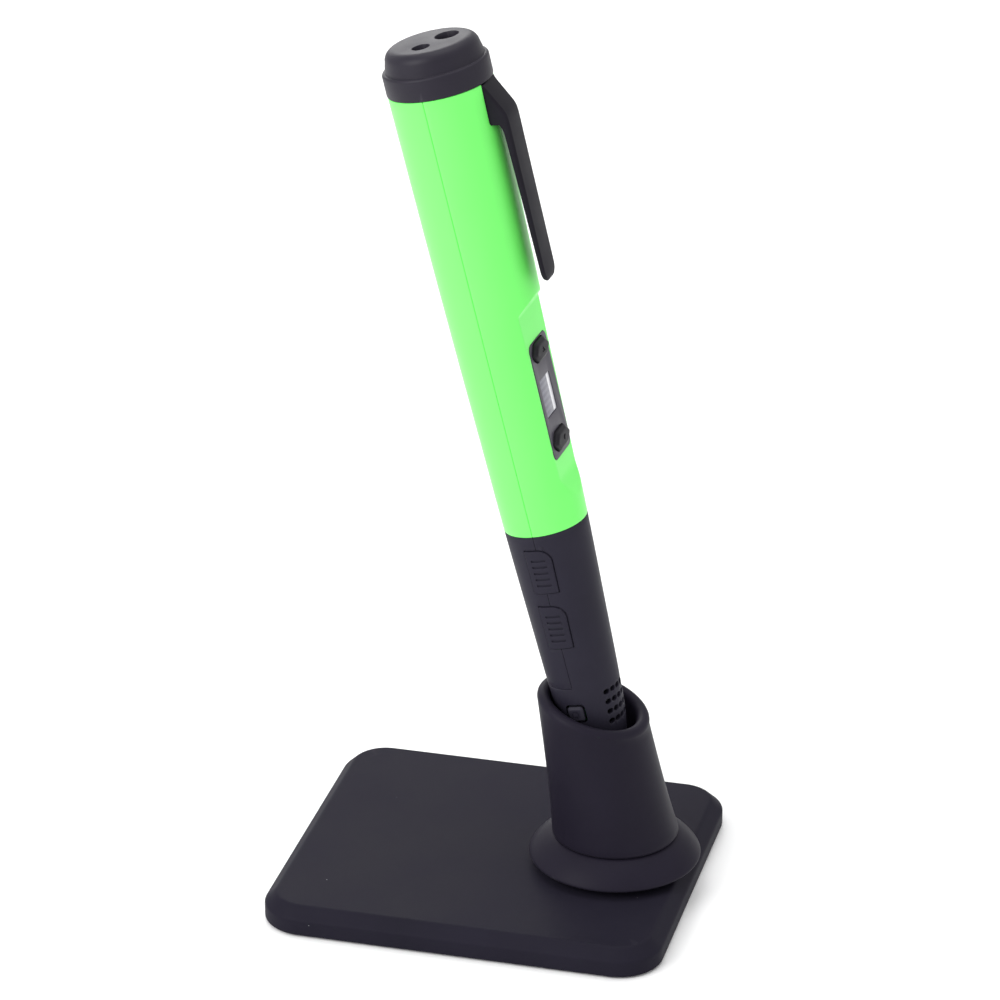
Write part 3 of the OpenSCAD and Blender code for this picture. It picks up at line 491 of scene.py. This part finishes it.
# Each point is (inset, height): underside, rounded foot, upright side, bevel and flat top.
profile = [(2.6, 4.3), (2.5, FOOT_Z + 0.05), (2.2, FOOT_Z)]
profile += [(FOOT_R - x, z) for x, z in arc(0, FOOT_Z + FOOT_R, FOOT_R, -90, 0, 5)]
profile += [(0, 2), (0, 3.2), (0.0, 3.95), (0.03, 4.25), (0.12, 4.5), (0.28, 4.72)]
profile += [(0.6, 5.02), (1.2, 5.59), (2.0, 6.35), (2.45, 6.78), (2.7, 6.98), (2.95, 7.13), (3.2, 7.215)]
profile += [(3.5, TOP_Z), (3.8, TOP_Z), (6, TOP_Z)]
verts, faces = loft([plate_ring(inset, z) for inset, z in profile])
base = build("base_plate_body", verts, faces, WORLD)
collar_edge = [(COLLAR_R, COLLAR_HI - 0.2), (COLLAR_R - 0.06, COLLAR_HI - 0.06), (COLLAR_R - 0.2, COLLAR_HI)]
collar_profile = [(COLLAR_R, COLLAR_LO)] + collar_edge + [(0.5, COLLAR_HI), (0.5, COLLAR_LO)]
combine(base, [turned("collar", collar_profile, HUB, 96)], "UNION")
combine(base, [turned("bore", [(5.05, 2), (5.05, 12)], HUB, 64)])
soften(base, 0, smooth=30)
put(base, "stand", "plate_black", "base_plate")

# ---------------------------------------------------------------- holder
# The skirt as (radius, height): down its flared outside, round its rim and back up its inside.
skirt_profile = [(11.7, 15.4), (14.6, 15.4), (15.0, 15.38), (15.4, 15.3), (15.9, 15.05), (16.6, 14.65),
                 (17.4, 14.1), (18.5, 13.25), (19.5, 12.3), (20.3, 11.38), (20.9, 10.6), (21.15, 10.2),
                 (21.28, 9.9), (21.26, 9.65), (21.1, 9.43), (20.85, 9.32), (20.6, 9.3), (20.3, 9.36),
                 (19.95, 9.6), (19, 10.7), (17.7, 11.9), (16.4, 12.8), (15, 13.4), (11.7, 13.6)]
skirt = turned("holder_skirt_body", skirt_profile, HUB, 160, True)
soften(skirt, 0, smooth=40)
put(skirt, "holder", "holder_black", "holder_skirt")

# The cup leans over from a height above the plate, and its mouth tilts further. The seat is the pen's own.
CUP_Z, CUP_R, MOUTH_R, LIP_R, MOUTH_Z = 15.6, 15.7, 11.1, 1.6, 48.8
LEAN, LEAN_Z, MOUTH_TILT, SEAT_TURN = math.radians(9), 12, math.radians(16), math.radians(4)
MOUTH_SHIFT = (MOUTH_Z - LEAN_Z) * math.tan(LEAN)
MOUTH = Matrix.Translation(Vector((HUB_X - MOUTH_SHIFT, 0, MOUTH_Z))) @ Matrix.Rotation(MOUTH_TILT, 4, "Y")
CUP_SIDES, CUP_STEPS, CUP_WAIST = 144, 20, 0.35
ANGLES = [2 * math.pi * i / CUP_SIDES for i in range(CUP_SIDES)]


def foot_ring(r, z):
    """A level ring round the hub."""
    return [Vector((HUB_X + r * math.cos(a), r * math.sin(a), z)) for a in ANGLES]


def mouth_ring(r, h):
    """A ring in the tilted mouth, at a height over its plane."""
    return [MOUTH @ Vector((r * math.cos(a), r * math.sin(a), h)) for a in ANGLES]


def lip_ring(degrees):
    """One ring of the lip's rounding: 0 is its outermost one and 90 its top."""
    a = math.radians(degrees)
    return mouth_ring(MOUTH_R + LIP_R + LIP_R * math.cos(a), LIP_R * math.sin(a))


def seat_ring(r, z):
    """A ring round the pen's axis."""
    return [PEN_MM @ Vector((r * math.cos(a + SEAT_TURN), r * math.sin(a + SEAT_TURN), z)) for a in ANGLES]


rings = [foot_ring(CUP_R - 0.9, CUP_Z), foot_ring(CUP_R - 0.5, CUP_Z), foot_ring(CUP_R - 0.22, CUP_Z + 0.08),
         foot_ring(CUP_R - 0.05, CUP_Z + 0.3), foot_ring(CUP_R, CUP_Z + 0.7)]
# The outside runs up to the lip with a slight waist.
LIP_START = -12
low, high = rings[-1], lip_ring(LIP_START)
for k in range(1, CUP_STEPS):
    t = k / CUP_STEPS
    waist = CUP_WAIST * math.sin(math.pi * t ** 0.7)
    ring = []
    for a, b in zip(low, high):
        p = a.lerp(b, t)
        out = Vector((p.x - (HUB_X - MOUTH_SHIFT * t), p.y, 0)).normalized()
        ring.append(p - out * waist)
    rings.append(ring)
rings += [lip_ring(degrees) for degrees in list(range(LIP_START, 171, 14)) + [182]]
# The inside narrows from the mouth to the seat, then goes down as a round hole.
inner_top = mouth_ring(MOUTH_R, -0.5)
inner_low = seat_ring(7.35, 9.6)
rings += [[a.lerp(b, t) for a, b in zip(inner_top, inner_low)]
          for t in (0, 0.12, 0.25, 0.4, 0.55, 0.7, 0.85, 0.97, 1)]
rings += [seat_ring(radius, z) for radius, z in ((7.2, 9.5), (6.1, 9.5), (5.95, 9.4), (5.95, 9), (5.95, 4),
                                                 (5.95, -2.6), (5.6, -2.95), (5, -3))]
verts, faces = loft(rings)
cup = build("holder_cup_body", verts, faces, WORLD)
soften(cup, 0, smooth=50)
put(cup, "holder", "holder_black", "holder_cup")

# ---------------------------------------------------------------- barrel
# The display's flat: its distance from the axis, then the height, rise and length of the run-out below it
# and of the shoulder above it.
FLAT_X = 8.6
RUN_OUT_Z, RUN_OUT_RISE, RUN_OUT_LENGTH = 88, 2.6, 7
SHOULDER_Z, SHOULDER_RISE, SHOULDER_LENGTH = 131.2, 3.8, 3.6
PANEL_Z, PANEL_W, PANEL_L, PANEL_CORNER = 108, 12.3, 29.6, 1.8
PEG_Z = 182
PEG = PEN @ Matrix.Translation((0, 0, PEG_Z * MM)) @ Matrix.Rotation(math.pi / 2, 4, "Y")


def soft_min(a, b, k):
    """The smaller of two numbers, rounded over where they differ by less than k."""
    h = max(0.0, min(1.0, 0.5 + 0.5 * (b - a) / k))
    return b + (a - b) * h - k * h * (1 - h)


def soft_max(a, b, k):
    """The larger of two numbers, rounded over in the same way."""
    return -soft_min(-a, -b, k)


def flat_at(z):
    """Distance of the flat's plane from the axis, with the run-out below it and the shoulder above it."""
    x = soft_max(FLAT_X, FLAT_X + (RUN_OUT_Z - z) * RUN_OUT_RISE / RUN_OUT_LENGTH, 0.35)
    return soft_max(x, FLAT_X + (z - SHOULDER_Z) * SHOULDER_RISE / SHOULDER_LENGTH, 0.6)


def barrel_r(angle, z):
    """Radius of the front half, cut back to the flat on the display's side."""
    r = pen_r(z)
    c = math.cos(angle)
    if c < 0.2:
        return r
    return soft_min(r, flat_at(z) / c, 0.4)


def half_ring(front_half, z, wall):
    """C-shaped outline of half of the barrel at one height, with more points at the edge of the flat."""
    r = pen_r(z)
    limit = math.pi / 2 - SEAM / r
    if front_half:
        edge = math.acos(min(0.985, flat_at(z) / r))
        steps = [-8, -5, -3.4, -2.2, -1.3, -0.6, 0, 0.6, 1.3, 2.2, 3.4, 5]
        near = [edge + math.radians(step) for step in steps]
        inside = [near[0] * i / 12 for i in range(-12, 13)]
        outside = [near[-1] + (limit - near[-1]) * i / 16 for i in range(1, 17)]
        half = near[1:] + outside
        angles = [-a for a in reversed(half)] + inside + half
    else:
        angles = [math.pi - limit + 2 * limit * i / 88 for i in range(89)]
    skin = [(a, barrel_r(a, z) if front_half else r) for a in angles]
    outer = [(radius * math.cos(a), radius * math.sin(a), z) for a, radius in skin]
    inner = [((radius - wall) * math.cos(a), (radius - wall) * math.sin(a), z) for a, radius in skin]
    return outer + inner[::-1]


def stations(*spans):
    """Heights from spans of (start, end, step)."""
    out = []
    for a, b, step in spans:
        n = max(1, round((b - a) / step))
        out += [a + (b - a) * i / n for i in range(n)]
    return out + [spans[-1][1]]


BARREL_LO = GRIP_Z + SEAM
heights = stations((BARREL_LO, 80, 1), (80, 90, 0.5), (90, 129, 3), (129, 137, 0.25), (137, BARREL_Z, 3))
verts, faces = loft([half_ring(True, z, BARREL_WALL) for z in heights])
front = build("barrel_front", verts, faces, PEN)
clip_slot = [(-4.4, 178.3), (-4.14, 177.66), (-3.5, 177.4), (3.5, 177.4), (4.14, 177.66), (4.4, 178.3),
             (4.4, 190), (-4.4, 190)]
panel_hole = rounded(PANEL_W + 0.12, PANEL_L + 0.12, PANEL_CORNER + 0.06, 8, 0, PANEL_Z)
clip_seat = prism("clip_seat", clip_slot, "X", 10.8, 20, PEN)
panel_seat = prism("panel_seat", panel_hole, "X", 3, 20, PEN)
combine(front, [clip_seat, panel_seat])
soften(front, 0.09, 38)
put(front, "pen", "barrel_green", "front_shell")
verts, faces = loft([half_ring(False, z, BARREL_WALL) for z in stations((BARREL_LO, BARREL_Z, 3))])
rear = build("barrel_rear", verts, faces, PEN)
soften(rear, 0.09, 38)
put(rear, "pen", "barrel_green", "rear_shell")

# The green pad in the barrel's wall that the clip's root is pegged to.
seat = prism("clip_anchor", [(-5.2, 176.2), (5.2, 176.2), (5.2, 187.4), (-5.2, 187.4)], "X", 9.4, 10.75, PEN)
combine(seat, [turned("peg_hole", [(1.9, 7), (1.9, 13)], PEG, 32)])
soften(seat, 0.1, 40)
put(seat, "pen", "barrel_green")

# ---------------------------------------------------------------- grip
GAP = 0.2
POWER_X, POWER_Z, POWER_W, POWER_PROUD = -0.6, 27.6, 3.9, 0.5
BUTTON_L, BUTTON_W, BUTTON_PROUD = 11.3, 6.4, 0.33
FEED_Z, RETRACT_Z = 61, 45.9
RIBS, RIB_START, RIB_PITCH = 5, 2.1, 1.65
VENT_ROWS, VENT_COLUMNS, VENT_Z, VENT_PITCH, VENT_STEP = 4, 6, 23.5, 2.68, 14


def key_outline(z0, grow):
    """Grip button: a square corner at the top left and a wide round one at the top right."""
    w, h, r = BUTTON_W + 2 * grow, BUTTON_L + 2 * grow, 3 + grow
    x0, y0 = -w / 2, z0 - grow
    return [(x0, y0), (x0 + w - 0.2, y0)] + arc(x0 + w - r, y0 + h - r, r, 0, 90, 10) + [(x0, y0 + h)]


def tube(name, heights, offset, wall, n=160):
    """A shell that follows the pen's outline: offset moves its outside outwards, wall its inside inwards."""
    rings = [circle(pen_r(z) + offset, z, n) for z in heights]
    rings += [circle(pen_r(z) - wall, z, n) for z in reversed(heights)]
    verts, faces = loft(rings, False)
    return build(name, verts, faces, PEN)


def slab(name, x0, x1, z0, z1=90):
    """A block across the whole pen, for cutting it."""
    return prism(name, [(x0, z0), (x1, z0), (x1, z1), (x0, z1)], "Y", -30, 30, PEN)


def facing_front(x, y, z):
    """A place in the pen's frame whose Z points out of the pen's front."""
    return PEN @ Matrix.Translation((x * MM, y * MM, z * MM)) @ Matrix.Rotation(math.pi / 2, 4, "X")


def grip_cutters():
    """The openings for the three grip buttons."""
    out = [prism("key_gap", key_outline(z0, GAP), "Y", -20, -3, PEN) for z0 in (FEED_Z, RETRACT_Z)]
    power_hole = rounded(POWER_W + 1.1, POWER_W + 1.1, 1.1, 6, POWER_X, POWER_Z)
    out.append(prism("power_gap", power_hole, "Y", -20, -3, PEN))
    return out


front_grip = tube("grip_front", stations((NOSE_Z, 36, 1), (36, GRIP_Z - SEAM, 2)), 0, GRIP_WALL)
cutters = [slab("rear_cut", -30, SEAM, REAR_Z)] + grip_cutters()
for row in range(VENT_ROWS):
    for column in range(VENT_COLUMNS):
        angle = math.radians((column - (VENT_COLUMNS - 1) / 2) * VENT_STEP)
        outline = rounded(1.8, 1.35, 0.67, 6, 0, VENT_Z + row * VENT_PITCH)
        cutters.append(prism("vent", outline, "X", 4, 12, PEN @ Matrix.Rotation(angle, 4, "Z")))
combine(front_grip, cutters)
soften(front_grip, 0.08, 38)
put(front_grip, "pen", "grip_black", "grip_front_shell")
rear_grip = tube("grip_rear", stations((REAR_Z + 0.1, GRIP_Z - SEAM, 2)), 0, GRIP_WALL)
combine(rear_grip, [slab("front_cut", -SEAM, 30, 20)] + grip_cutters())
soften(rear_grip, 0.08, 38)
put(rear_grip, "pen", "grip_black", "grip_rear_shell")

# The neck reaches up into the barrel, and starts clear of the feed button's cap.
neck = tube("grip_neck", stations((72.8, 80.4, 1.9)), -BARREL_WALL - 0.1, BARREL_WALL + 0.9)
combine(neck, [slab("seam_cut", -SEAM, SEAM, 60)])
soften(neck, 0.06, 40)
put(neck, "pen", "grip_black")

for z0, body, node in ((FEED_Z, "feed_key", "feed_button"), (RETRACT_Z, "retract_key", "retract_button")):
    key = tube(node + "_cap", stations((z0 - 2, z0 + BUTTON_L + 2, 0.8)), BUTTON_PROUD, 1.4, 240)
    combine(key, [prism("outline", key_outline(z0, 0), "Y", -20, -4, PEN)], "INTERSECT")
    slots = []
    for i in range(RIBS):
        z = z0 + RIB_START + i * RIB_PITCH
        ring = tube("slot", [z - 0.26, z + 0.26], 2, -0.02, 240)
        ends = rounded(3.7, 0.5, 0.12, 4, -0.05, z)
        combine(ring, [prism("slot_ends", ends, "Y", -20, -4, PEN)], "INTERSECT")
        slots.append(ring)
    combine(key, slots)
    soften(key, 0.07, 38)
    plunger_z = z0 + BUTTON_L / 2
    plunger = [(1.0, 0), (1.2, 0.2), (1.2, pen_r(plunger_z) - 8.4)]
    combine(key, [turned("stem", plunger, facing_front(0, -7.4, plunger_z), 32)], "UNION")
    soften(key, 0, smooth=40)
    put(key, body, "grip_black", node)

face_y = -pen_r(POWER_Z) - POWER_PROUD
power_outline = rounded(POWER_W, POWER_W, 0.7, 6, POWER_X, POWER_Z)
power = plate("power_button_cap", [power_outline], "Y", face_y, -6.9, PEN, 0.55, 0)
ring_mark = [(0.85, 0), (0.85, 0.6), (0.62, 0.6), (0.62, 0)]
combine(power, [turned("mark", ring_mark, facing_front(POWER_X, face_y + 0.12, POWER_Z), 40, True)])
soften(power, 0, smooth=30)
put(power, "power_key", "grip_black", "power_button")

# ---------------------------------------------------------------- end cap
# (radius, height) from the spigot inside the barrel, over the collar and up the crown.
profile = [(8.9, 183.7), (9.1, 184.1), (9.1, 187.76), (12.3, 187.76), (12.55, 187.8), (12.7, 187.95)]
profile += [(12.75, 188.2), (12.75, 190.5)] + arc(12.05, 192.6, 0.7, 0, 80, 6)
profile += [(11.95, 193.28), (11.85, 193.36), (11.78, 193.6), (11.72, 194.3)]
profile += arc(8.66, 195.7, 2.69, 6, 90, 12)
profile += [(8.2, 198.39), (6, 198.39)]
cap = turned("end_cap_body", profile, PEN, 160)
JACK, FILAMENT = (3.1, 3.2), (-0.8, -4.2)
holes = []
for (x, y), rings in ((JACK, [(4.15, 180), (4.15, 196.4), (2.85, 196.4), (2.85, 198.15), (3.1, 198.6)]),
                      (FILAMENT, [(1.75, 180), (1.75, 190.5), (2.1, 190.5), (2.1, 198.18), (2.32, 198.6)])):
    verts, faces = loft([circle(r, z, 64, x, y) for r, z in rings])
    holes.append(build("inlet", verts, faces, PEN))
combine(cap, holes)
soften(cap, 0, smooth=32)
put(cap, "pen", "cap_rubber", "end_cap")

# ---------------------------------------------------------------- clip
CLIP_TIP, CLIP_ROOT, CLIP_TOP = 137.3, 177.6, 187.4
CLIP_TIP_R, CLIP_TIP_W, CLIP_TOP_W = 3.2, 3.85, 4.25


def along(points, z):
    """A value at a height, read off straight lines between (height, value) points."""
    for (z0, v0), (z1, v1) in zip(points, points[1:]):
        if z0 <= z <= z1:
            return v0 + (v1 - v0) * (z - z0) / (z1 - z0)
    return points[0][1] if z < points[0][0] else points[-1][1]


# How far the clip's outer and inner faces stand from the axis, at each height.
CLIP_OUT = [(CLIP_TIP, 15.55), (137.5, 15.85), (138, 16.08), (139, 16.18), (150, 16.2), (176, 16.2),
            (178.2, 16.18), (179.4, 16.05), (180.4, 15.75), (181.4, 15.25), (184, 13.8), (186.6, 12.35),
            (187.1, 12.15), (CLIP_TOP, 12.0)]
CLIP_IN = [(CLIP_TIP, 15.5), (137.6, 15.3), (138.4, 15.12), (150, 14.92), (165, 14.65), (174, 14.45),
           (175.6, 14.35), (176.4, 14.2), (177.0, 13.95), (177.4, 13.6), (CLIP_ROOT - 0.02, 13.1),
           (CLIP_ROOT, 11.05), (CLIP_TOP, 11.05)]


def clip_ring(z):
    """The clip's cross-section, which narrows in an arc at its tip. wide is half of its width."""
    wide = CLIP_TIP_W + (CLIP_TOP_W - CLIP_TIP_W) * (z - CLIP_TIP) / (CLIP_TOP - CLIP_TIP)
    if z < CLIP_TIP + CLIP_TIP_R:
        short = CLIP_TIP + CLIP_TIP_R - z
        wide = wide - CLIP_TIP_R + math.sqrt(max(0.0, CLIP_TIP_R**2 - short**2)) + 0.02
    lo, hi = along(CLIP_IN, z), along(CLIP_OUT, z)
    outer_r = min(0.75, (hi - lo) * 0.49, wide * 0.6)
    inner_r = min(0.3, (hi - lo) * 0.49, wide * 0.4)
    outline = arc(hi - outer_r, outer_r - wide, outer_r, 270, 360, 6)
    outline += arc(hi - outer_r, wide - outer_r, outer_r, 0, 90, 6)
    outline += arc(lo + inner_r, wide - inner_r, inner_r, 90, 180, 4)
    outline += arc(lo + inner_r, inner_r - wide, inner_r, 180, 270, 4)
    return [(x, y, z) for x, y in outline]


clip_heights = [137.3, 137.34, 137.42, 137.55, 137.75, 138, 138.4, 138.9, 139.5, 140.2, 140.5]
clip_heights += stations((142, 174, 4), (174, 177.4, 0.4), (177.4, CLIP_ROOT - 0.02, 0.18)) + [CLIP_ROOT]
clip_heights += stations((177.9, 183, 0.5), (183, CLIP_TOP, 0.7))
verts, faces = loft([clip_ring(z) for z in clip_heights])
clip = build("clip_blade", verts, faces, PEN)
combine(clip, [turned("peg", [(1.5, 8.4), (1.5, 12)], PEG, 32)], "UNION")
soften(clip, 0.12, 42)
put(clip, "clip", "clip_black", "pocket_clip")

# ---------------------------------------------------------------- display
UP_Z, DOWN_Z = 119.9, 97
TEMP_W, TEMP_L, TEMP_CORNER = 9.8, 4.8, 2.1
SCREEN_W, SCREEN_L, SCREEN_Y, SCREEN_Z = 7, 9.6, -0.9, 108.5


def temp_outline(z, grow):
    """Flattened octagon with softened corners."""
    w, h, c = TEMP_W / 2 + grow, TEMP_L / 2 + grow, TEMP_CORNER
    raw = [(-w + c, -h), (w - c, -h), (w, -h + c), (w, h - c),
           (w - c, h), (-w + c, h), (-w, h - c), (-w, -h + c)]
    out = []
    for i, p in enumerate(raw):
        a, b = raw[i - 1], raw[(i + 1) % 8]
        p, a, b = Vector(p), Vector(a), Vector(b)
        s = p + (a - p).normalized() * min(0.8, (a - p).length * 0.45)
        e = p + (b - p).normalized() * min(0.8, (b - p).length * 0.45)
        for k in range(4):
            t = k / 3
            q = s * (1 - t) ** 2 + p * 2 * t * (1 - t) + e * t * t
            out.append((q.x, q.y + z))
    return out


openings = [rounded(SCREEN_W, SCREEN_L, 0.3, 3, SCREEN_Y, SCREEN_Z), temp_outline(UP_Z, GAP),
            temp_outline(DOWN_Z, GAP)]
outlines = [rounded(PANEL_W, PANEL_L, PANEL_CORNER, 8, 0, PANEL_Z)] + [hole[::-1] for hole in openings]
panel = plate("display_panel_face", outlines, "X", 7.5, 8.7, PEN, 0.14)
soften(panel, 0, smooth=35)
put(panel, "pen", "panel_gloss", "display_panel")
window = rounded(SCREEN_W - 0.1, SCREEN_L - 0.1, 0.25, 3, SCREEN_Y, SCREEN_Z)
screen = plate("display_window", [window], "X", 7.4, 8.52, PEN, 0.08, 2)
soften(screen, 0, smooth=35)
put(screen, "pen", "screen", "display_screen")
module = plate("display_module", [rounded(9.9, 14.6, 0.3, 3, 0, SCREEN_Z)], "X", 4.35, 7.4, PEN, 0.1, 2)
soften(module, 0, smooth=35)
put(module, "pen", "screen", look="jack_black")

# The caps of the display's buttons, from foot to top: (distance from the axis, growth of the outline).
TEMP_LEVELS = [(7.35, 0), (9.1, 0), (9.3, -0.05), (9.42, -0.18), (9.6, -0.5), (9.72, -0.62), (9.8, -0.78),
               (9.84, -1.0), (9.84, -1.5)]
for z, way, body in ((UP_Z, 1, "temp_up"), (DOWN_Z, -1, "temp_down")):
    node = body + "_button"
    outline = temp_outline(z, 0)
    rings = []
    for x, grow in TEMP_LEVELS:
        across, along_pen = 1 + grow / (TEMP_W / 2), 1 + grow / (TEMP_L / 2)
        rings.append([(x, y * across, z + (h - z) * along_pen) for y, h in outline])
    verts, faces = loft(rings)
    button = build(node + "_cap", verts, faces, PEN)
    arrow_outline = [(-0.95, z - 0.6 * way), (0.95, z - 0.6 * way), (0, z + 0.75 * way)]
    arrow = prism("arrow", arrow_outline, "X", 9.66, 11, PEN)
    flange = plate("flange", [rounded(10.9, 5.5, 2, 6, 0, z)], "X", 6.92, 7.28, PEN, 0.06, 1)
    combine(button, [arrow])
    combine(button, [flange, prism("core", rounded(6, 3, 0.5, 3, 0, z), "X", 7.0, 7.9, PEN)], "UNION")
    soften(button, 0, smooth=32)
    put(button, body, "button_black", node)

# ---------------------------------------------------------------- floor, light and surroundings
FLOOR = 3000
corners = [(-FLOOR, -FLOOR, 0), (FLOOR, -FLOOR, 0), (FLOOR, FLOOR, 0), (-FLOOR, FLOOR, 0)]
floor = build("floor", corners, [(0, 1, 2, 3)], WORLD)
paper, tree, shader = new_material("paper")
grain = add(tree, "ShaderNodeTexNoise", Scale=12.0, Detail=3.0)
pale = blend_colour(tree, grain.outputs["Fac"], (0.93, 0.93, 0.935), (0.95, 0.95, 0.95))
tree.links.new(pale, shader.inputs["Base Color"])
shader.inputs["Roughness"].default_value = 0.35
shader.inputs["Specular IOR Level"].default_value = 0.25
floor.data.materials.append(paper)

world = bpy.data.worlds.new("studio")
SCENE.world = world
world.use_nodes = True
world.node_tree.nodes["Background"].inputs["Color"].default_value = (1, 1, 1, 1)
world.node_tree.nodes["Background"].inputs["Strength"].default_value = 0.85


def softbox(name, where, size, power, aim=(0, 0, 0.08)):
    """A rectangular area light that points at aim."""
    light = bpy.data.lights.new(name, "AREA")
    light.shape = "RECTANGLE"
    light.size, light.size_y = size
    light.energy = power
    obj = bpy.data.objects.new(name, light)
    COLLECTION.objects.link(obj)
    obj.location = where
    obj.rotation_euler = (Vector(aim) - Vector(where)).to_track_quat("-Z", "Y").to_euler()


softbox("key", (-0.75, -0.85, 0.75), (0.8, 0.9), 11)
softbox("top", (-0.1, 0.2, 1.3), (1.0, 1.0), 6)
softbox("side", (1.0, -0.2, 0.5), (0.5, 0.9), 0.8)
softbox("rear", (-0.5, 1.05, 0.5), (0.6, 0.45), 2.3, (0, 0, 0.2))
